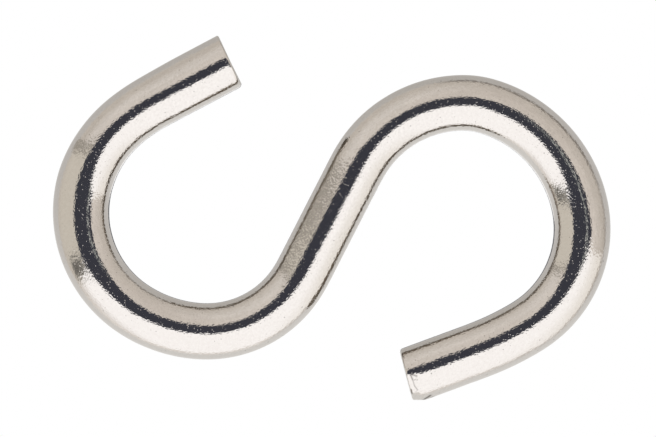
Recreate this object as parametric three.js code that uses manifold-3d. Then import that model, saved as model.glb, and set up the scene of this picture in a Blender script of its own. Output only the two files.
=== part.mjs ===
// An open S hook, bent from one length of round steel bar, for hanging meat from a rail.
// Millimetres, +Z up, as the hook hangs. The bar is bent in the XZ plane, and +X is the side
// of the upper tip. The origin is the rail seat, inside the top of the upper bend, and the
// load seat is plumb below it, inside the bottom of the lower bend.

import * as THREE from 'three';
import { mergeVertices, toCreasedNormals } from 'three/addons/utils/BufferGeometryUtils.js';
import Module from 'manifold-3d';

// Driving dimensions

const BAR_DIAMETER = 8.0;

// Where the bar points at its upper tip: degrees from +X towards +Z.
const UPPER_TIP_HEADING = 121.5;

// The bar's centre line, from the middle of the upper tip's face to the middle of the lower
// one's. A run is straight, with a length, or bent, with a radius and an angle in degrees,
// and a positive angle turns from +X towards +Z. The bar was bent cold round a former, so it
// lies a little off the round where it was gripped and where it sprang back.
const RUNS = [
  { length: 12.5 },
  { radius: 24.9, angle: 13.0 },
  { radius: 16.8, angle: 105.8 },
  { radius: 19.3, angle: 32.0 },
  { radius: 15.4, angle: 64.2 },
  { length: 17.0 },
  { radius: 17.3, angle: -64.8 },
  { radius: 9.4, angle: -11.4 },
  { radius: 19.0, angle: -64.4 },
  { radius: 16.4, angle: -71.2 },
  { radius: 42.6, angle: -10.9 },
  { length: 10.7 },
];

// The bar was sheared to length, so each end face leans out on the outside of its bend.
const UPPER_FACE_LEAN = 2.7;
const LOWER_FACE_LEAN = 4.7;

// The shear crushed the outer corner of the lower end into a bevel: along the bar, and in.
const BEVEL_LENGTH = 2.0;
const BEVEL_DEPTH = 0.85;

// How finely the round bar is faceted.
const HALF_SECTION_SIDES = 12;
const STEPS_ALONG = 110;

const STEEL = { color: 0xc4beb5, metalness: 1.0, roughness: 0.15 };

const degrees = THREE.MathUtils.degToRad;
const barRadius = BAR_DIAMETER / 2;

// A planar curve in XZ made of straight and bent runs, walked at an even pace.
class BentLine extends THREE.Curve {
  constructor(runs, heading) {
    super();
    this.offset = new THREE.Vector3();
    this.runs = [];
    this.total = 0;
    let x = 0;
    let z = 0;
    for (const run of runs) {
      const turn = degrees(run.angle ?? 0);
      const length = run.length ?? run.radius * Math.abs(turn);
      const placed = { x, z, heading, length, curvature: turn / length, start: this.total };
      this.runs.push(placed);
      [x, z] = this.pointIn(placed, length);
      heading += turn;
      this.total += length;
    }
  }

  pointIn(run, distance) {
    if (run.curvature === 0) {
      return [
        run.x + distance * Math.cos(run.heading),
        run.z + distance * Math.sin(run.heading),
      ];
    }
    const turned = run.heading + run.curvature * distance;
    return [
      run.x + (Math.sin(turned) - Math.sin(run.heading)) / run.curvature,
      run.z - (Math.cos(turned) - Math.cos(run.heading)) / run.curvature,
    ];
  }

  runAt(distance) {
    return this.runs.findLast((run) => run.start <= distance) ?? this.runs[0];
  }

  getPoint(t, target = new THREE.Vector3()) {
    const distance = t * this.total;
    const run = this.runAt(distance);
    const [x, z] = this.pointIn(run, distance - run.start);
    return target.set(x, 0, z).add(this.offset);
  }

  // The direction of travel at a distance from the upper tip.
  directionAt(distance) {
    const run = this.runAt(distance);
    const heading = run.heading + run.curvature * (distance - run.start);
    return new THREE.Vector3(Math.cos(heading), 0, Math.sin(heading));
  }

  // The first place where the line has turned to a heading, such as the crest of a bend.
  distanceWhere(heading) {
    const run = this.runs.find((candidate) => {
      const turned = candidate.heading + candidate.curvature * candidate.length;
      return (candidate.heading - heading) * (turned - heading) < 0;
    });
    return run.start + (heading - run.heading) / run.curvature;
  }
}

// The bar's centre line, moved so that the rail seat is at the origin.
function centreLine() {
  const line = new BentLine(RUNS, degrees(UPPER_TIP_HEADING));
  const crest = line.getPoint(line.distanceWhere(Math.PI) / line.total);
  line.offset.set(-crest.x, 0, barRadius - crest.z);
  return line;
}

// Joining and cutting

const wasm = await Module();
wasm.setup();

function toSolid(geometry) {
  const bare = geometry.clone();
  bare.deleteAttribute('normal');
  bare.deleteAttribute('uv');
  const merged = mergeVertices(bare);
  return new wasm.Manifold(new wasm.Mesh({
    numProp: 3,
    vertProperties: new Float32Array(merged.attributes.position.array),
    triVerts: new Uint32Array(merged.index.array),
  }));
}

function toGeometry(solid, creaseAngle) {
  const mesh = solid.getMesh();
  const geometry = new THREE.BufferGeometry();
  geometry.setAttribute('position', new THREE.BufferAttribute(mesh.vertProperties, mesh.numProp));
  geometry.setIndex(new THREE.BufferAttribute(mesh.triVerts, 1));
  return toCreasedNormals(geometry, creaseAngle);
}

// A block whose near face passes through a point, and which lies beyond it along a direction.
function blockBeyond(point, direction) {
  const size = 1.5 * BAR_DIAMETER;
  const block = new THREE.BoxGeometry(size, size, size);
  block.translate(0, 0, size / 2);
  block.applyQuaternion(
    new THREE.Quaternion().setFromUnitVectors(new THREE.Vector3(0, 0, 1), direction),
  );
  block.translate(point.x, point.y, point.z);
  return toSolid(block);
}

// A direction in the XZ plane, turned towards another by an angle in radians.
function lean(direction, towards, angle) {
  return direction.clone().multiplyScalar(Math.cos(angle))
    .addScaledVector(towards, Math.sin(angle));
}

// The bar before its ends are cut: a round section swept along the centre line, with each
// end run longer than it will be.
function uncutBar(line, spare) {
  const runs = RUNS.map((run) => ({ ...run }));
  runs.at(0).length += spare;
  runs.at(-1).length += spare;
  const longer = new BentLine(runs, degrees(UPPER_TIP_HEADING));
  const back = line.directionAt(0).multiplyScalar(-spare);
  longer.offset.copy(line.getPoint(0)).add(back);
  const section = new THREE.Shape();
  section.absarc(0, 0, barRadius, 0, 2 * Math.PI);
  return new THREE.ExtrudeGeometry(section, {
    extrudePath: longer,
    curveSegments: HALF_SECTION_SIDES,
    steps: STEPS_ALONG,
  });
}

// One bent bar with both ends sheared off and the lower one's outer corner crushed.
function hookGeometry() {
  const line = centreLine();
  const upper = line.getPoint(0);
  const lower = line.getPoint(1);
  const upperOut = line.directionAt(0).negate();
  const lowerOut = line.directionAt(line.total);
  // Outside the upper bend is on the right of the line's travel, and outside the lower bend
  // is on its left.
  const upperOuter = new THREE.Vector3(-upperOut.z, 0, upperOut.x);
  const lowerOuter = new THREE.Vector3(-lowerOut.z, 0, lowerOut.x);

  const upperFace = lean(upperOut, upperOuter, -degrees(UPPER_FACE_LEAN));
  const lowerFace = lean(lowerOut, lowerOuter, -degrees(LOWER_FACE_LEAN));

  const corner = lower.clone().addScaledVector(lowerOuter, barRadius)
    .addScaledVector(lowerOut, barRadius * Math.tan(degrees(LOWER_FACE_LEAN)));
  const bevelStart = corner.clone().addScaledVector(lowerOut, -BEVEL_LENGTH);
  const bevelOut = lean(lowerOuter, lowerOut, Math.atan2(BEVEL_DEPTH, BEVEL_LENGTH));

  const bar = toSolid(uncutBar(line, barRadius))
    .subtract(blockBeyond(upper, upperFace))
    .subtract(blockBeyond(lower, lowerFace))
    .subtract(blockBeyond(bevelStart, bevelOut));
  return toGeometry(bar, degrees(35));
}

const hook = new THREE.Group();
const hookRod = new THREE.Mesh(hookGeometry(), new THREE.MeshStandardMaterial(STEEL));
hookRod.name = 'hook_rod';
hook.add(hookRod);

export default hook;
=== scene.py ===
"""The looks of an open S hook, bent from one length of bright round steel bar.

Blender 4.5. Metres, +Z up, as the hook hangs. One fine mesh stands in for the plain facets of
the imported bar: a little full in its shoulders, slightly flattened in its bends, rolled and
crushed at its sheared ends, dented, and rippled in its plating. Bright steel shows the room
more than itself, so the room that it mirrors is painted on a dome about it.
"""

import math

import bmesh
import bpy
import numpy as np
from mathutils import Matrix, Vector, noise


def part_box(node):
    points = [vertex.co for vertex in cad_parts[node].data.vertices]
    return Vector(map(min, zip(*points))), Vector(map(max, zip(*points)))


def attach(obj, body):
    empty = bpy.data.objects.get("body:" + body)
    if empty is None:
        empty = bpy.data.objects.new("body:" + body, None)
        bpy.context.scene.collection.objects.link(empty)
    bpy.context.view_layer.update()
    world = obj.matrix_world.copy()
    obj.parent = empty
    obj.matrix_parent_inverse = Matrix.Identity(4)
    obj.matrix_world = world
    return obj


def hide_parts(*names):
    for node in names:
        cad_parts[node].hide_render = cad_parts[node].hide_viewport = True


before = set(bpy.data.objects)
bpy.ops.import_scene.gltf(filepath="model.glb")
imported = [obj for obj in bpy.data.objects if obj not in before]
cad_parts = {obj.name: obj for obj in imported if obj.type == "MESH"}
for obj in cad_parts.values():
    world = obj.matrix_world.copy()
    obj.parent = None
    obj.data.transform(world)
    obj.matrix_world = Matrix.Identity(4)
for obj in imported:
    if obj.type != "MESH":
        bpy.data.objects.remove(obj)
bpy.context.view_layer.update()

MM = 0.001
MICRON = 1e-6

# ---------------------------------------------------------------- the bar's driving sizes

NODE = "hook_rod"
LOW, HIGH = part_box(NODE)
BAR_RADIUS = (HIGH.y - LOW.y) / 2

# The centre line from the middle of the upper tip's face to the middle of the lower one's,
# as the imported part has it. A run is a length and a turn in degrees: a straight run turns by
# nothing, and a bend's length is its radius times its turn. Positive turns from +X to +Z.
UPPER_TIP_HEADING = 121.5


def bend(radius, turn):
    return radius * math.radians(abs(turn)) * MM, turn


def straight(length):
    return length * MM, 0.0


RUNS = [
    straight(12.5),
    bend(24.9, 13.0),
    bend(16.8, 105.8),
    bend(19.3, 32.0),
    bend(15.4, 64.2),
    straight(17.0),
    bend(17.3, -64.8),
    bend(9.4, -11.4),
    bend(19.0, -64.4),
    bend(16.4, -71.2),
    bend(42.6, -10.9),
    straight(10.7),
]
BAR_LENGTH = sum(length for length, turn in RUNS)

# Cold bending eases one curvature into the next over about this length.
EASE = 3 * MM

# The bar is a little wider in the plane of its bends, by this share of its radius.
BAR_SWELL = 0.010

# Where the bending tools bore on the bar and flattened one side of it: the middle and half
# the length of the flat along the bar from the upper tip, its side (1 is left of travel), and
# its depth as a share of the bar's radius. A flat starts to fade at the first share of its
# half length, and is gone at the second.
FLATS = [
    (18 * MM, 9 * MM, -1, 0.045),
    (39 * MM, 12 * MM, 1, 0.022),
    (119 * MM, 16 * MM, 1, 0.030),
]
FLAT_FADE = (0.3, 1.3)

# The bar's section is a little full in its shoulders. It stands out past a circle by up to
# this share of its radius, from nothing at the start angle, counted from its front and back,
# to nothing at its sides. The skew puts the fullest place nearer to the sides.
SHOULDER_SHARE = 0.040
SHOULDER_START = math.radians(25)
SHOULDER_SKEW = 1.36

# The sheared ends. Each face leans out on the outside of its bend, and the lean dies out this
# far along the bar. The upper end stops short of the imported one.
UPPER_LEAN = math.radians(3.0)
LOWER_LEAN = math.radians(5.4)
LEAN_REACH = 4 * MM
UPPER_SHORT = 0.16 * MM

# The rim of each face is rolled over by the shear, and crushed back into a chamfer. Angles
# go round the bar in degrees, from its front (-Y) towards the outside of its bend: angle,
# the chamfer's length along the bar, and its depth, both in millimetres.
LIP = 0.20 * MM
CHAMFER_SOFTNESS = 0.12
UPPER_CHAMFER = [
    (-90, 0.45, 0.30),
    (-60, 0.50, 0.14),
    (-45, 0.45, 0.10),
    (0, 0.42, 0.09),
    (60, 0.36, 0.06),
    (90, 0.20, 0.04),
    (180, 0.35, 0.08),
]
LOWER_CHAMFER = [
    (-135, 0.30, 0.12),
    (-90, 0.50, 0.24),
    (-45, 0.20, 0.06),
    (-10, 0.40, 0.08),
    (12, 0.85, 0.17),
    (35, 1.15, 0.32),
    (60, 1.45, 0.52),
    (90, 2.05, 0.80),
    (125, 1.10, 0.40),
    (155, 0.50, 0.16),
    (180, 0.30, 0.08),
]

# A burr stands out from the upper face at the inside of the bend: its height, how far back
# along the bar it reaches, and how far round it starts and is whole, as sines of the angle.
UPPER_BURR = 0.11 * MM
BURR_REACH = 1.2 * MM
BURR_START = (0.80, 0.96)

# Beside the lower face's crushed corner the front of the bar slumped: how deep, the angles
# where it comes and where it goes, counted as above but in radians, and where it fades, from
# the face.
SLUMP = 0.15 * MM
SLUMP_COMES = (-0.25, 0.35)
SLUMP_GOES = (0.9, 1.4)
SLUMP_FADE = (1.2 * MM, 2.3 * MM)

# The marks that the shear left beside the lower tip: where each starts and ends, as a distance
# from the face in millimetres and an angle round the bar as above, then its width and depth in
# millimetres, and how dark it is.
SHEAR_MARKS = [
    ((1.45, 69), (2.35, 60), 0.20, 0.090, 1.0),
    ((1.75, 80), (2.60, 73), 0.24, 0.090, 1.0),
    ((2.35, 72), (2.80, 68), 0.15, 0.040, 0.60),
    ((0.16, 30), (0.12, 42), 0.09, 0.040, 0.90),
    ((0.60, -4), (0.72, 8), 0.10, 0.012, 0.80),
    ((0.72, 8), (0.74, 22), 0.08, 0.012, 0.55),
    ((0.74, 22), (1.02, 34), 0.08, 0.012, 0.60),
    ((1.02, 34), (0.66, 38), 0.07, 0.012, 0.35),
    ((0.68, 7), (1.37, 11), 0.08, 0.010, 0.55),
    ((0.79, -4), (1.40, 3), 0.12, 0.010, 0.75),
    ((0.20, -54), (0.34, -44), 0.10, 0.010, 0.60),
]

# The unevenness of crushed steel and of the whole bar: its height, and the size of its humps.
# Along the bar the whole bar's humps are twice as long. The crushing is whole and gone at these
# distances from each face, and much weaker at the upper one.
CRUSHED_HEIGHT = 0.030 * MM
CRUSHED_HUMPS = 0.45 * MM
BAR_HEIGHT = 0.006 * MM
BAR_HUMPS = 2.2 * MM
LOWER_CRUSH_FADE = (1.6 * MM, 2.6 * MM)
UPPER_CRUSH_FADE = (0.2 * MM, 1.0 * MM)
UPPER_CRUSH = 0.15

# Shallow dents from handling: how many, how near they come to a tip, and the least and most
# of their radius, their depth and their stretch along the bar.
DENTS = 90
DENT_MARGIN = 4 * MM
DENT_RADIUS = (0.35 * MM, 0.9 * MM)
DENT_DEPTH = (0.006 * MM, 0.018 * MM)
DENT_STRETCH = (0.7, 2.2)
DENT_SEED = 11

# The torn part of each sheared face, beside the strip that the blade polished: where it starts
# across the face, in bar radii, how rough it is, how far it lies in, as a share of that, how
# far it falls in from its middle to its far side, and the sizes of its humps.
TORN_FROM = (-0.45, -0.25)
TORN_HEIGHT = 0.035 * MM
TORN_SINK = 0.4
TORN_FALL = 0.03 * MM
TORN_HUMPS = (0.5 * MM, 0.22 * MM)

# One pattern of noise is moved this far from the next.
NOISE_SHIFT = Vector((7.31, 3.17, 5.71))

# How finely the mesh is divided: points round the bar, the step from ring to ring, the finer
# step near a tip and how far it reaches, the growth from one step to the other, the rings
# over the rolled lip, and the rings from a face's rim to its middle, closer near the rim.
SIDES = 160
RING_STEP = 0.36 * MM
FINE_STEP = 0.08 * MM
FINE_REACH = 2.6 * MM
STEP_GROWTH = 1.2
LIP_RINGS = 9
FACE_RINGS = 14
FACE_RING_EASE = 0.85


# ---------------------------------------------------------------- the centre line


def centre_line():
    """Distance along the bar, position and heading, with the rail seat at the origin."""
    step = 0.02 * MM
    distance = np.arange(0, BAR_LENGTH + step, step)
    ends = np.cumsum([0] + [length for length, turn in RUNS])
    headings = np.cumsum([UPPER_TIP_HEADING] + [turn for length, turn in RUNS])
    heading = np.radians(np.interp(distance, ends, headings))
    half = int(EASE / step / 2)
    padded = np.pad(heading, half, mode="edge")
    window = np.ones(2 * half + 1) / (2 * half + 1)
    heading = np.convolve(padded, window, mode="valid")
    x = np.concatenate([[0], np.cumsum(np.cos(heading[:-1]) * step)])
    z = np.concatenate([[0], np.cumsum(np.sin(heading[:-1]) * step)])
    crest = np.argmax(heading > math.pi)
    return distance, x - x[crest], z - z[crest] + BAR_RADIUS, heading


LINE = centre_line()


def along(distance):
    """Positions, directions of travel and left-hand normals at distances along the bar.
    Distances past either tip carry straight on."""
    s, x, z, heading = LINE
    inside = np.clip(distance, 0, BAR_LENGTH)
    h = np.interp(inside, s, heading)
    over = distance - inside
    travel = np.stack([np.cos(h), np.zeros_like(h), np.sin(h)], -1)
    left = np.stack([-np.sin(h), np.zeros_like(h), np.cos(h)], -1)
    place = np.stack([np.interp(inside, s, x), np.zeros_like(h), np.interp(inside, s, z)], -1)
    return place + over[..., None] * travel, travel, left


# ---------------------------------------------------------------- the bar's surface


def smooth_step(low, high, value):
    """0 below low and 1 above high, with a smooth rise between them."""
    t = np.clip((value - low) / (high - low), 0, 1)
    return t * t * (3 - 2 * t)


def fade(full, gone, value):
    """1 below full and 0 above gone, with a smooth fall between them."""
    return 1 - smooth_step(full, gone, value)


def round_the_bar(points, angle):
    """Length and depth of a chamfer at angles round the bar, eased between its points."""
    points = sorted(points)
    first, last = points[0], points[-1]
    closed = [(last[0] - 360, *last[1:]), *points, (first[0] + 360, *first[1:])]
    angles = np.array([point[0] for point in closed], float)
    values = np.array([point[1:] for point in closed]) * MM
    wrapped = (np.degrees(angle) + 180) % 360 - 180
    wrapped = np.where(wrapped < angles[0], wrapped + 360, wrapped)
    index = np.clip(np.searchsorted(angles, wrapped) - 1, 0, len(angles) - 2)
    share = smooth_step(angles[index], angles[index + 1], wrapped)[..., None]
    mixed = values[index] * (1 - share) + values[index + 1] * share
    return mixed[..., 0], mixed[..., 1]


def rim_drop(from_end, angle, chamfer):
    """How far the surface falls in towards the bar's axis near a sheared face."""
    length, depth = round_the_bar(chamfer, angle)
    reach = np.clip(1 - from_end / length, 0, 1)
    soft = CHAMFER_SOFTNESS
    chamfered = depth * (np.sqrt(reach**2 + soft**2) - soft) / (math.sqrt(1 + soft**2) - soft)
    lip = np.clip(1 - from_end / LIP, 0, 1)
    return chamfered + LIP * (1 - np.sqrt(1 - lip**2))


def shoulder(angle):
    """How much the bar's section stands out past a circle, as a share of its radius."""
    from_front = np.arcsin(np.abs(np.sin(angle)))
    share = np.clip((from_front - SHOULDER_START) / (math.pi / 2 - SHOULDER_START), 0, 1)
    return SHOULDER_SHARE * np.sin(math.pi * share**SHOULDER_SKEW) ** 2


def flattened(distance, angle):
    """How far the bending tools pressed the bar in, as a share of its radius."""
    pressed = np.zeros_like(distance)
    for middle, half, side, share in FLATS:
        full, gone = [half * reach for reach in FLAT_FADE]
        held = fade(full, gone, np.abs(distance - middle))
        pressed += share * held * smooth_step(0.0, 1.0, side * np.sin(angle))
    return pressed


def noise_at(points, scale, seed):
    """Smooth noise from -1 to 1 at points, with features about one scale across."""
    shift = seed * NOISE_SHIFT
    flat = points.reshape(-1, 3) / scale
    values = [noise.noise(Vector(p) + shift) for p in flat]
    return np.array(values).reshape(points.shape[:-1])


def unevenness(distance, angle, from_upper, from_lower):
    """How uneven the surface is: coarse where the shear crushed it, and faint all along."""
    points = np.stack([distance, BAR_RADIUS * np.cos(angle), BAR_RADIUS * np.sin(angle)], -1)
    on_outside = smooth_step(-0.1, 1.0, np.sin(angle))
    crushed = fade(*LOWER_CRUSH_FADE, from_lower) * on_outside
    crushed += UPPER_CRUSH * fade(*UPPER_CRUSH_FADE, from_upper)
    uneven = CRUSHED_HEIGHT * crushed * noise_at(points, CRUSHED_HUMPS, seed=1)
    return uneven + BAR_HEIGHT * noise_at(points * [0.5, 1, 1], BAR_HUMPS, seed=2)


def dents(distance, angle):
    """Shallow dents from handling, as depths at points of the surface."""
    random = np.random.default_rng(DENT_SEED)
    depth = np.zeros(distance.shape)
    for _ in range(DENTS):
        middle = random.uniform(DENT_MARGIN, BAR_LENGTH - DENT_MARGIN)
        turn = random.uniform(0, 2 * math.pi)
        radius = random.uniform(*DENT_RADIUS)
        deep = random.uniform(*DENT_DEPTH)
        stretch = random.uniform(*DENT_STRETCH)
        gap = (angle - turn + math.pi) % (2 * math.pi) - math.pi
        far = np.hypot((distance - middle) / stretch, gap * BAR_RADIUS) / radius
        depth += deep * np.exp(-far**2)
    return depth


def shear_marks(from_end, angle):
    """Depths and darkness of the marks that the shear left beside the lower tip."""
    depth = np.zeros(from_end.shape)
    dark = np.zeros(from_end.shape)
    for (start_out, start_turn), (end_out, end_turn), width, deep, darkness in SHEAR_MARKS:
        start = np.array([start_out * MM, math.radians(start_turn) * BAR_RADIUS])
        run = np.array([end_out * MM, math.radians(end_turn) * BAR_RADIUS]) - start
        beside = from_end - start[0]
        around = angle * BAR_RADIUS - start[1]
        t = np.clip((beside * run[0] + around * run[1]) / (run @ run), 0, 1)
        off = np.hypot(beside - t * run[0], around - t * run[1]) / (width * MM)
        depth += deep * MM * np.exp(-off**2)
        dark = np.maximum(dark, darkness * np.exp(-off**2))
    return depth, dark


def stations():
    """Distances along the bar of the mesh's rings, close together at the tips."""
    lip = LIP * (1 - np.cos(np.linspace(0, math.pi / 2, LIP_RINGS)))
    fine = np.arange(LIP + FINE_STEP, FINE_REACH, FINE_STEP)
    tip = [*lip, *fine]
    step = FINE_STEP
    while step < RING_STEP:
        step *= STEP_GROWTH
        tip.append(tip[-1] + step)
    tip = np.array(tip)
    count = int(round((BAR_LENGTH - 2 * tip[-1]) / RING_STEP))
    middle = np.linspace(UPPER_SHORT + tip[-1], BAR_LENGTH - tip[-1], count + 1)
    return np.concatenate([UPPER_SHORT + tip, middle[1:-1], BAR_LENGTH - tip[::-1]])


def bar_surface():
    """Rings of points from tip to tip, the same points on the bar laid out straight, and how
    dark the shear left each. Angles go round from the bar's front to its left of travel, which
    is the inside of the upper bend and the outside of the lower one."""
    turns = np.linspace(0, 2 * math.pi, SIDES, endpoint=False)
    distance, angle = np.meshgrid(stations(), turns, indexing="ij")
    signed = (angle + math.pi) % (2 * math.pi) - math.pi
    from_upper = distance - UPPER_SHORT
    from_lower = BAR_LENGTH - distance

    drop = rim_drop(from_upper, -signed, UPPER_CHAMFER)
    drop += rim_drop(from_lower, signed, LOWER_CHAMFER)
    drop += unevenness(distance, angle, from_upper, from_lower)
    drop += dents(distance, angle)
    slumped = smooth_step(*SLUMP_COMES, signed) * fade(*SLUMP_GOES, signed)
    drop += SLUMP * slumped * fade(*SLUMP_FADE, from_lower)
    marked, dark = shear_marks(from_lower, signed)
    drop += marked

    fullness = 1 + shoulder(angle)
    in_plane = BAR_RADIUS * (1 + BAR_SWELL - flattened(distance, angle))
    front = (BAR_RADIUS * fullness - drop) * np.cos(angle)
    side = (in_plane * fullness - drop) * np.sin(angle)

    lean = math.tan(LOWER_LEAN) * fade(0, LEAN_REACH, from_lower)
    lean += math.tan(UPPER_LEAN) * fade(0, LEAN_REACH, from_upper)
    burr = smooth_step(*BURR_START, np.sin(signed)) * fade(0, BURR_REACH, from_upper)
    place, travel, left = along(distance + side * lean - UPPER_BURR * burr)
    points = place + front[..., None] * np.array([0.0, -1.0, 0.0]) + side[..., None] * left
    laid_out = np.stack([distance, front, side], -1)
    return points, laid_out, dark


def face_rings(rim, rim_laid_out, outward, polished_side, seed):
    """Rings of points from a sheared face's rim to its middle. The blade first polished a
    strip along one side of the face, where 1 is left of travel, and the rest tore."""
    middle = rim.mean(0)
    laid_middle = rim_laid_out.mean(0)
    coarse, fine = TORN_HUMPS
    rings, laid = [], []
    for k in range(1, FACE_RINGS + 1):
        share = (1 - k / FACE_RINGS) ** FACE_RING_EASE
        ring = middle + (rim - middle) * share
        flat = laid_middle + (rim_laid_out - laid_middle) * share
        across = -polished_side * flat[:, 2] / BAR_RADIUS
        torn = smooth_step(*TORN_FROM, across)
        ragged = noise_at(flat, coarse, seed) + 0.5 * noise_at(flat, fine, seed + 1)
        inside_rim = 1 - share**6
        height = TORN_HEIGHT * (ragged - TORN_SINK) - TORN_FALL * across
        height = height * torn * inside_rim
        rings.append(ring + height[:, None] * outward)
        laid.append(flat + height[:, None] * np.array([1.0, 0, 0]))
    return rings, laid


def tube_faces(count):
    """Faces of a closed tube of rings, and a fan to one more point at each end."""
    first, last = count * SIDES, count * SIDES + 1
    end = (count - 1) * SIDES
    faces = []
    for a in range(0, end, SIDES):
        b = a + SIDES
        for k in range(SIDES):
            n = (k + 1) % SIDES
            faces.append((a + k, b + k, b + n, a + n))
    for k in range(SIDES):
        n = (k + 1) % SIDES
        faces.append((k, n, first))
        faces.append((end + n, end + k, last))
    return faces


def build_bar():
    """The bar's mesh: its side, and its two sheared faces in a material of their own."""
    points, laid_out, dark = bar_surface()
    _, travel, _ = along(np.array([0.0, BAR_LENGTH]))
    upper, upper_laid = face_rings(
        points[0], laid_out[0], outward=-travel[0], polished_side=1, seed=21
    )
    lower, lower_laid = face_rings(
        points[-1], laid_out[-1], outward=travel[1], polished_side=-1, seed=31
    )
    # The last ring of each face has shrunk to one point, which the fans share.
    rings = upper[-2::-1] + list(points) + lower[:-1]
    laid = upper_laid[-2::-1] + list(laid_out) + lower_laid[:-1]
    vertices = np.concatenate([*rings, [upper[-1][0], lower[-1][0]]])
    laid_vertices = np.concatenate([*laid, [upper_laid[-1][0], lower_laid[-1][0]]])
    faces = tube_faces(len(rings))

    face_size = (FACE_RINGS - 1) * SIDES
    darkness = np.zeros(len(vertices), np.float32)
    darkness[face_size : face_size + dark.size] = dark.ravel()
    sheared = np.zeros(len(faces), np.int32)
    sheared[:face_size] = 1
    sheared[(len(rings) - FACE_RINGS) * SIDES :] = 1

    mesh = bpy.data.meshes.new("hook_bar")
    mesh.from_pydata(vertices.tolist(), [], faces)
    stored = mesh.attributes.new("laid_out", "FLOAT_VECTOR", "POINT")
    stored.data.foreach_set("vector", laid_vertices.astype(np.float32).ravel())
    stored = mesh.attributes.new("shear_mark", "FLOAT", "POINT")
    stored.data.foreach_set("value", darkness)
    mesh.polygons.foreach_set("material_index", sheared)
    mesh.polygons.foreach_set("use_smooth", np.ones(len(faces), bool))
    mesh.update()
    mesh.validate()
    bar = bpy.data.objects.new("hook_bar", mesh)
    bpy.context.scene.collection.objects.link(bar)
    return bar


# ---------------------------------------------------------------- materials

# The height of each kind of unevenness in the plating.
RIPPLE = 15 * MICRON
SWELL = 15 * MICRON
DRAWING_LINES = 2.5 * MICRON
PITS = 9 * MICRON
FLECKS = 12 * MICRON

# The same in the sheared faces.
BLADE_STREAKS = 12 * MICRON
TORN_GRAIN = 14 * MICRON

PLATING_DULL = (0.638, 0.614, 0.584, 1)
PLATING_BRIGHT = (0.694, 0.675, 0.645, 1)
SPECK = (0.30, 0.28, 0.26, 1)
PIT = (0.20, 0.19, 0.18, 1)
SHEAR_MARK = (0.12, 0.105, 0.095, 1)
BARE_DULL = (0.44, 0.42, 0.40, 1)
BARE_BRIGHT = (0.60, 0.58, 0.55, 1)


class Nodes:
    """Short names for building a node tree."""

    def __init__(self, tree):
        self.tree = tree

    def add(self, kind, inputs=None, **settings):
        node = self.tree.nodes.new(kind)
        for name, value in settings.items():
            setattr(node, name, value)
        for name, value in (inputs or {}).items():
            self.feed(node.inputs[name], value)
        return node

    def feed(self, socket, value):
        if isinstance(value, bpy.types.NodeSocket):
            self.tree.links.new(value, socket)
        else:
            socket.default_value = value

    def math(self, operation, a, b=0.0, c=0.0):
        return self.add("ShaderNodeMath", {0: a, 1: b, 2: c}, operation=operation).outputs[0]

    def vector(self, operation, a, b=(0, 0, 0)):
        node = self.add("ShaderNodeVectorMath", {0: a, 1: b}, operation=operation)
        return node.outputs["Value" if operation == "DOT_PRODUCT" else "Vector"]

    def scaled(self, vector, size):
        inputs = {0: vector, "Scale": size}
        return self.add("ShaderNodeVectorMath", inputs, operation="SCALE").outputs["Vector"]

    def step(self, value, low, high, to_low=0.0, to_high=1.0):
        """Goes smoothly from to_low to to_high as value goes from low to high."""
        inputs = {"Value": value, "From Min": low, "From Max": high}
        inputs |= {"To Min": to_low, "To Max": to_high}
        return self.add("ShaderNodeMapRange", inputs, interpolation_type="SMOOTHSTEP").outputs[0]

    def fade(self, value, full, gone):
        """1 below full and 0 above gone, with a smooth fall between them."""
        return self.step(value, gone, full)

    def near(self, value, middle, flat, reach):
        """1 within flat of the middle, falling to 0 at reach."""
        off = self.math("ABSOLUTE", self.math("SUBTRACT", value, middle))
        return self.fade(off, flat, reach)

    def both(self, *masks):
        """Where all of the masks are."""
        joined = masks[0]
        for mask in masks[1:]:
            joined = self.math("MULTIPLY", joined, mask)
        return joined

    def either(self, *masks):
        """Where any of the masks is."""
        joined = masks[0]
        for mask in masks[1:]:
            joined = self.math("MAXIMUM", joined, mask)
        return joined

    def mix(self, share, a, b):
        inputs = {"Factor": share, 6: a, 7: b}
        return self.add("ShaderNodeMix", inputs, data_type="RGBA").outputs[2]

    def noise(self, where, scale, detail, roughness=0.5):
        inputs = {"Vector": where, "Scale": scale, "Detail": detail, "Roughness": roughness}
        return self.add("ShaderNodeTexNoise", inputs).outputs["Fac"]

    def spots(self, where, scale, core, edge):
        """Scattered round spots, 1 within core of a middle and 0 past edge."""
        inputs = {"Vector": where, "Scale": scale, "Randomness": 1.0}
        cells = self.add("ShaderNodeTexVoronoi", inputs).outputs["Distance"]
        return self.fade(cells, core, edge)

    def bump(self, *layers):
        """A bump made of layers, each a height in metres and its pattern."""
        height = 0.0
        for size, pattern in layers:
            height = self.math("MULTIPLY_ADD", pattern, size, height)
        inputs = {"Height": height, "Strength": 1.0, "Distance": 1.0}
        return self.add("ShaderNodeBump", inputs).outputs["Normal"]


def laid_out_in_mm(nodes, stretch=(1, 1, 1)):
    """Where a point would be if the bar were laid out straight, in millimetres: along the bar,
    forward and sideways. A stretch below 1 draws a pattern out in that direction."""
    place = nodes.add("ShaderNodeAttribute", attribute_name="laid_out").outputs["Vector"]
    return nodes.vector("MULTIPLY", place, tuple(share / MM for share in stretch))


def new_material(name):
    material = bpy.data.materials.new(name)
    material.use_nodes = True
    nodes = Nodes(material.node_tree)
    shader = material.node_tree.nodes["Principled BSDF"]
    return material, nodes, shader


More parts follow.
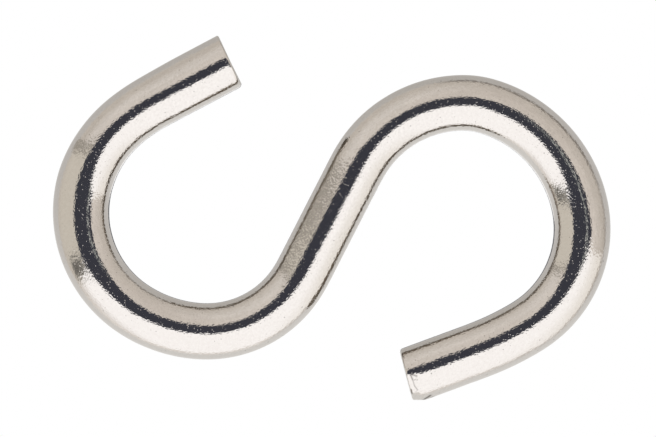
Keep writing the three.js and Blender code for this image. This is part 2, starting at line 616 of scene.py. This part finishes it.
def bright_steel():
    """Bright, slightly warm plating over drawn bar: a fine crystalline ripple, drawing lines
    along the bar, small pits, flecks and specks, and the dark marks of the shear."""
    material, nodes, shader = new_material("bright_steel")
    place = laid_out_in_mm(nodes)
    ripple = nodes.noise(laid_out_in_mm(nodes, (0.55, 1, 1)), scale=5.6, detail=0.5)
    swell = nodes.noise(place, scale=0.9, detail=1.0)
    drawn_out = laid_out_in_mm(nodes, (0.03, 1, 1))
    lines = nodes.noise(drawn_out, scale=4.5, detail=3.0, roughness=0.6)
    pits = nodes.spots(place, scale=0.85, core=0.03, edge=0.11)
    flecks = nodes.spots(place, scale=2.3, core=0.05, edge=0.19)
    bump = nodes.bump(
        (RIPPLE, ripple), (SWELL, swell), (DRAWING_LINES, lines), (-PITS, pits), (-FLECKS, flecks)
    )

    mottle = nodes.noise(place, scale=2.6, detail=4.0, roughness=0.75)
    tone = nodes.mix(nodes.step(mottle, 0.25, 0.75), PLATING_DULL, PLATING_BRIGHT)
    specks = nodes.spots(place, scale=2.1, core=0.05, edge=0.16)
    tone = nodes.mix(nodes.math("MULTIPLY", specks, 0.24), tone, SPECK)
    tone = nodes.mix(nodes.math("MULTIPLY", pits, 0.6), tone, PIT)
    marks = nodes.add("ShaderNodeAttribute", attribute_name="shear_mark").outputs["Fac"]
    tone = nodes.mix(marks, tone, SHEAR_MARK)

    nodes.feed(shader.inputs["Base Color"], tone)
    gloss = nodes.step(nodes.noise(place, scale=1.7, detail=3.0), 0.3, 0.7, 0.05, 0.09)
    nodes.feed(shader.inputs["Roughness"], gloss)
    nodes.feed(shader.inputs["Normal"], bump)
    shader.inputs["Metallic"].default_value = 1.0
    return material


def sheared_steel():
    """The sheared faces: bare grey steel, drawn into streaks by the blade, torn beyond."""
    material, nodes, shader = new_material("sheared_steel")
    blade_way = laid_out_in_mm(nodes, (1, 1, 0.12))
    streaks = nodes.noise(blade_way, scale=9.0, detail=3.0, roughness=0.6)
    grain = nodes.noise(laid_out_in_mm(nodes), scale=7.0, detail=4.0, roughness=0.7)
    bump = nodes.bump((BLADE_STREAKS, streaks), (TORN_GRAIN, grain))
    nodes.feed(shader.inputs["Base Color"], nodes.mix(grain, BARE_DULL, BARE_BRIGHT))
    nodes.feed(shader.inputs["Roughness"], nodes.step(streaks, 0.3, 0.7, 0.28, 0.45))
    nodes.feed(shader.inputs["Normal"], bump)
    shader.inputs["Metallic"].default_value = 1.0
    return material


# ---------------------------------------------------------------- camera

# The hook lies across the picture: the camera looks along +Y, and is turned so that the
# hook's plumb line runs a little off the picture's width.
ROLL = math.radians(3.6)
PICTURE_RIGHT = Vector((math.sin(ROLL), 0, -math.cos(ROLL)))
PICTURE_UP = Vector((math.cos(ROLL), 0, math.sin(ROLL)))
TO_CAMERA = Vector((0, -1, 0))
PICTURE_WIDTH = 94.31 * MM
PICTURE_MIDDLE = Vector((0.194 * MM, 0, -31.474 * MM))
LENS = 200.0
SENSOR = 36.0


def make_camera():
    data = bpy.data.cameras.new("camera")
    data.lens = LENS
    data.sensor_width = SENSOR
    data.clip_start = 0.01
    data.clip_end = 50
    camera = bpy.data.objects.new("camera", data)
    turn = Matrix((PICTURE_RIGHT, PICTURE_UP, TO_CAMERA)).transposed()
    place = PICTURE_MIDDLE + TO_CAMERA * (PICTURE_WIDTH * LENS / SENSOR)
    camera.matrix_world = Matrix.Translation(place) @ turn.to_4x4()
    bpy.context.scene.collection.objects.link(camera)
    bpy.context.scene.camera = camera


# ---------------------------------------------------------------- the room that the bar mirrors

# The room is painted on a round dome about the hook, which only mirrored light sees. It is laid
# out as a small chrome ball in the dome's middle would show it to the camera: places are across
# and up on a disc one unit in radius, whose middle mirrors the camera itself and whose rim
# mirrors what lies straight behind the hook. Turns are in degrees from the disc's right, and
# both turns and outlines run anticlockwise.
DOME_RADIUS = 300 * MM


def arc(radius, start, end, count):
    """Points on a round stretch of an outline, between two turns."""
    turns = np.radians(np.linspace(start, end, count))
    return [(radius * math.cos(turn), radius * math.sin(turn)) for turn in turns]


# The camera and its stand are three dark shapes that join.
CAMERA_AND_STAND = [
    [
        (-0.290, -0.105), (0.03, -0.100), (0.03, 0.19), (-0.055, 0.183), (-0.232, 0.128),
        (-0.298, 0.02),
    ],
    [
        (0.0, -0.100), (0.16, -0.074), (0.32, -0.056), (0.350, -0.015), (0.262, 0.125),
        (0.20, 0.19), (0.125, 0.21), (0.0, 0.195),
    ],
    [(-0.075, 0.15), (0.02, 0.15), (0.02, 0.195), (-0.014, 0.225)],
]
LAMP = [*arc(0.687, 209, 349, 9), (0.31, -0.042), (-0.262, -0.065)]
LAMP_FRAME = [(-0.60, -0.300), (-0.24, -0.100), (-0.26, -0.080), (-0.60, -0.200)]
BACK_LAMP = [(-0.15, -0.13), (0.15, -0.13), (0.16, -0.02), (-0.16, -0.02)]
BACK_STAND = [(-0.16, -0.02), (0.16, -0.02), (0.12, 0.06), (-0.12, 0.06)]

# Where the screens end on the disc and the board behind the hook begins, and the turn of the
# fold between the upper and the side screen.
SCREENS_END = (0.695, 0.735)
SEAM_RADIUS = 0.703
FOLD_TURN = 151.6

BOARD_BELOW = (0.90, 0.885, 0.87, 1)
BOARD_MIDDLE = (0.70, 0.68, 0.665, 1)
BOARD_ABOVE = (0.61, 0.585, 0.56, 1)
SCREEN_MIDDLE = (0.90, 0.83, 0.77, 1)
SCREEN_ABOVE = (0.78, 0.71, 0.65, 1)
SCREEN_UPPER_LEFT = (0.91, 0.855, 0.81, 1)
SCREEN_RIM = (0.72, 0.66, 0.60, 1)
SIDE_SCREEN = (0.80, 0.745, 0.665, 1)
SCREEN_FOLD = (0.45, 0.415, 0.37, 1)
LAMP_LEFT = (1.40, 1.375, 1.385, 1)
LAMP_RIGHT = (1.12, 1.07, 1.01, 1)
LAMP_LOWER_LEFT = (1.0, 0.95, 0.92, 1)
LAMP_SPILL = (1.2, 1.15, 1.12, 1)
FRAME_GREY = (0.20, 0.19, 0.175, 1)
SEAM_BROWN = (0.20, 0.175, 0.155, 1)
GAP_BROWN = (0.27, 0.235, 0.205, 1)
CAMERA_BLACK = (0.058, 0.060, 0.078, 1)
CHINK_GREY = (0.62, 0.64, 0.61, 1)
BACK_LAMP_WHITE = (1.2, 1.19, 1.19, 1)
BACK_STAND_GREY = (0.16, 0.16, 0.17, 1)

# Painted shade: the room is painted darker, by these shares, for light that has already bounced
# between the hook's own sides.
SECOND_BOUNCE_SHADE = (0.36, 0.325, 0.285, 1)


class Disc:
    """Places on the chrome ball's disc. Its masks are 1 inside and 0 outside."""

    def __init__(self, nodes, right, up, toward):
        self.nodes = nodes
        # A hair more than 2, so that straight behind the hook there is no division by zero.
        size = nodes.math("SQRT", nodes.math("MULTIPLY_ADD", toward, 2.0, 2.0002))
        self.x = nodes.math("DIVIDE", right, size)
        self.y = nodes.math("DIVIDE", up, size)
        upward = nodes.math("MULTIPLY", self.y, self.y)
        self.out = nodes.math("SQRT", nodes.math("MULTIPLY_ADD", self.x, self.x, upward))

    def towards(self, turn):
        """How far out a place is towards a turn."""
        a = math.radians(turn)
        upward = self.nodes.math("MULTIPLY", self.y, math.sin(a))
        return self.nodes.math("MULTIPLY_ADD", self.x, math.cos(a), upward)

    def beyond(self, turn, none, full):
        """0 up to none towards a turn, rising to 1 at full."""
        return self.nodes.step(self.towards(turn), none, full)

    def inside(self, corners, soft=0.010):
        """On the inner side of every edge of an outline."""
        masks = []
        for (x0, y0), (x1, y1) in zip(corners, corners[1:] + corners[:1]):
            length = math.hypot(x1 - x0, y1 - y0)
            a, b = (y0 - y1) / length, (x1 - x0) / length
            depth = self.nodes.math("MULTIPLY_ADD", self.x, a, -(a * x0 + b * y0))
            depth = self.nodes.math("MULTIPLY_ADD", self.y, b, depth)
            masks.append(self.nodes.step(depth, -soft, soft))
        return self.nodes.both(*masks)


def paint_board_and_screens(nodes, disc, look):
    """The board behind the hook, brighter below where the lamp reaches it, and the screens
    round the camera: one all round of mottled cloth, and a plain one at its left side."""
    board = nodes.mix(nodes.step(disc.y, -0.80, 0.30), BOARD_BELOW, BOARD_MIDDLE)
    board = nodes.mix(nodes.step(disc.y, 0.30, 0.90), board, BOARD_ABOVE)

    screens = nodes.mix(disc.beyond(75, 0.0, 0.55), SCREEN_MIDDLE, SCREEN_ABOVE)
    screens = nodes.mix(disc.beyond(135, 0.15, 0.55), screens, SCREEN_UPPER_LEFT)
    screens = nodes.mix(nodes.step(disc.out, 0.46, 0.66), screens, SCREEN_RIM)
    cloth = nodes.noise(look, scale=13.0, detail=3.0, roughness=0.6)
    screens = nodes.scaled(screens, nodes.step(cloth, 0.25, 0.75, 0.86, 1.12))
    colour = nodes.mix(nodes.step(disc.out, *SCREENS_END), screens, board)

    below_fold = disc.towards(FOLD_TURN + 90)
    side = nodes.both(
        disc.beyond(180, 0.14, 0.26),
        nodes.fade(disc.out, 0.62, 0.74),
        nodes.step(below_fold, -0.012, 0.012),
    )
    colour = nodes.mix(side, colour, SIDE_SCREEN)
    sideways = nodes.math("DIVIDE", below_fold, disc.out)
    fold = nodes.both(
        disc.beyond(FOLD_TURN, 0.18, 0.26),
        nodes.fade(disc.out, 0.72, 0.80),
        nodes.near(sideways, 0.020, 0.024, 0.062),
    )
    return nodes.mix(fold, colour, SCREEN_FOLD)


def paint_lamp(nodes, disc, colour):
    """The wide soft lamp below the camera, dimmer to its right and lower left, the light that
    it spills on the board's edge, and its dark frame at the left."""
    glow = nodes.mix(disc.beyond(-10, 0.30, 0.70), LAMP_LEFT, LAMP_RIGHT)
    glow = nodes.mix(disc.beyond(214, 0.52, 0.68), glow, LAMP_LOWER_LEFT)
    colour = nodes.mix(disc.inside(LAMP), colour, glow)
    spill = nodes.both(nodes.near(disc.out, 0.695, 0.015, 0.05), disc.beyond(-90, 0.25, 0.5))
    colour = nodes.mix(nodes.math("MULTIPLY", spill, 0.5), colour, LAMP_SPILL)
    lamp_frame = nodes.both(
        disc.inside(LAMP_FRAME, 0.025),
        nodes.fade(disc.out, 0.69, 0.76),
        nodes.step(disc.out, 0.17, 0.30),
    )
    return nodes.mix(lamp_frame, colour, FRAME_GREY)


def paint_seams(nodes, disc, colour):
    """The dark seam between the screens and the board, fainter low down, and the gap between
    the lamp and the board at the lower right."""
    seam = nodes.both(
        nodes.near(disc.out, SEAM_RADIUS, 0.012, 0.042),
        disc.beyond(42, 0.38, 0.52),
        nodes.step(disc.y, 0.10, 0.35, 0.4, 1.0),
    )
    colour = nodes.mix(nodes.math("MULTIPLY", seam, 0.80), colour, SEAM_BROWN)
    gap = nodes.both(nodes.near(disc.out, 0.712, 0.006, 0.034), disc.beyond(-28, 0.50, 0.64))
    return nodes.mix(nodes.math("MULTIPLY", gap, 0.30), colour, GAP_BROWN)


def paint_camera(nodes, disc, colour):
    """The dark camera and its stand, with a thin chink of the room between them."""
    dark = nodes.either(*[disc.inside(corners) for corners in CAMERA_AND_STAND])
    chink = nodes.both(
        nodes.near(disc.towards(18), 0.188, 0.006, 0.020),
        nodes.near(disc.y, 0.035, 0.075, 0.125),
    )
    return nodes.mix(dark, colour, nodes.mix(chink, CAMERA_BLACK, CHINK_GREY))


def studio_room():
    """The dome's paint: a room of light, with no other light on it."""
    material = bpy.data.materials.new("studio_room")
    material.use_nodes = True
    material.cycles.emission_sampling = "NONE"
    tree = material.node_tree
    tree.nodes.clear()
    nodes = Nodes(tree)
    look = nodes.vector("NORMALIZE", nodes.add("ShaderNodeTexCoord").outputs["Object"])
    right = nodes.vector("DOT_PRODUCT", look, tuple(PICTURE_RIGHT))
    up = nodes.vector("DOT_PRODUCT", look, tuple(PICTURE_UP))
    toward = nodes.vector("DOT_PRODUCT", look, tuple(TO_CAMERA))

    disc = Disc(nodes, right, up, toward)
    colour = paint_board_and_screens(nodes, disc, look)
    colour = paint_lamp(nodes, disc, colour)
    colour = paint_seams(nodes, disc, colour)
    colour = paint_camera(nodes, disc, colour)

    # Straight behind the hook are a small second lamp and a grey stand, laid out on the disc
    # that the ball would show from behind.
    back = Disc(nodes, right, up, nodes.math("MULTIPLY", toward, -1.0))
    colour = nodes.mix(back.inside(BACK_LAMP), colour, BACK_LAMP_WHITE)
    colour = nodes.mix(back.inside(BACK_STAND), colour, BACK_STAND_GREY)

    # Painted shade: the room is darker where the hook sees it mirrored in its own sides.
    bounces = nodes.add("ShaderNodeLightPath").outputs["Glossy Depth"]
    shade = nodes.mix(nodes.math("GREATER_THAN", bounces, 1.5), (1, 1, 1, 1), SECOND_BOUNCE_SHADE)
    light = nodes.add("ShaderNodeEmission", {"Color": nodes.vector("MULTIPLY", colour, shade)})
    output = nodes.add("ShaderNodeOutputMaterial")
    nodes.feed(output.inputs["Surface"], light.outputs[0])
    return material


def make_dome():
    """The dome, seen only by mirrored light."""
    shape = bmesh.new()
    bmesh.ops.create_icosphere(shape, subdivisions=5, radius=DOME_RADIUS)
    mesh = bpy.data.meshes.new("studio_dome")
    shape.to_mesh(mesh)
    shape.free()
    dome = bpy.data.objects.new("studio_dome", mesh)
    dome.location = PICTURE_MIDDLE
    dome.visible_camera = False
    dome.visible_diffuse = False
    dome.visible_transmission = False
    dome.visible_volume_scatter = False
    dome.visible_shadow = False
    bpy.context.scene.collection.objects.link(dome)
    mesh.materials.append(studio_room())


# ---------------------------------------------------------------- surroundings, floor and light

FLOOR_HEIGHT = -120 * MM
FLOOR_RADIUS = 450 * MM
FLOOR_SIDES = 128


def make_surroundings():
    """Plain white all round, which is what the camera and the floor see."""
    world = bpy.data.worlds.new("white")
    bpy.context.scene.world = world
    world.use_nodes = True
    background = world.node_tree.nodes["Background"]
    background.inputs["Color"].default_value = (1, 1, 1, 1)
    background.inputs["Strength"].default_value = 1.0


def make_floor():
    """A plain pale floor below the hanging hook, which fades to white at its edge."""
    mesh = bpy.data.meshes.new("floor")
    turns = np.linspace(0, 2 * math.pi, FLOOR_SIDES, endpoint=False)
    rim = [(FLOOR_RADIUS * math.cos(t), FLOOR_RADIUS * math.sin(t), FLOOR_HEIGHT) for t in turns]
    mesh.from_pydata(rim, [], [tuple(range(FLOOR_SIDES))])
    floor = bpy.data.objects.new("floor", mesh)
    bpy.context.scene.collection.objects.link(floor)
    floor.visible_glossy = False

    material, nodes, shader = new_material("pale_floor")
    shader.inputs["Base Color"].default_value = (0.86, 0.86, 0.86, 1)
    shader.inputs["Roughness"].default_value = 0.9
    place = nodes.add("ShaderNodeTexCoord").outputs["Object"]
    out = nodes.add("ShaderNodeVectorMath", {0: place}, operation="LENGTH").outputs["Value"]
    edge = nodes.step(out, 0.35 * FLOOR_RADIUS, 0.95 * FLOOR_RADIUS)
    white = nodes.add("ShaderNodeEmission", {"Color": (1, 1, 1, 1), "Strength": 1.0})
    shown = nodes.add("ShaderNodeMixShader", {0: edge, 1: shader.outputs[0], 2: white.outputs[0]})
    nodes.feed(material.node_tree.nodes["Material Output"].inputs["Surface"], shown.outputs[0])
    mesh.materials.append(material)


def make_lamp():
    """A soft lamp over the floor. It isn't mirrored: the dome has the lamps that the bar shows."""
    data = bpy.data.lights.new("soft_lamp", "AREA")
    data.shape = "DISK"
    data.size = 0.35
    data.energy = 1.2
    lamp = bpy.data.objects.new("soft_lamp", data)
    lamp.location = (0.12, -0.25, 0.75)
    aim = Vector((0, 0, FLOOR_HEIGHT)) - lamp.location
    lamp.rotation_euler = aim.to_track_quat("-Z", "Y").to_euler()
    lamp.visible_glossy = False
    bpy.context.scene.collection.objects.link(lamp)


# ---------------------------------------------------------------- the scene

bpy.context.scene.view_settings.view_transform = "Standard"
make_camera()
make_surroundings()
make_dome()
make_floor()
make_lamp()

hook_bar = build_bar()
hook_bar.data.materials.append(bright_steel())
hook_bar.data.materials.append(sheared_steel())
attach(hook_bar, "root")
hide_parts(NODE)
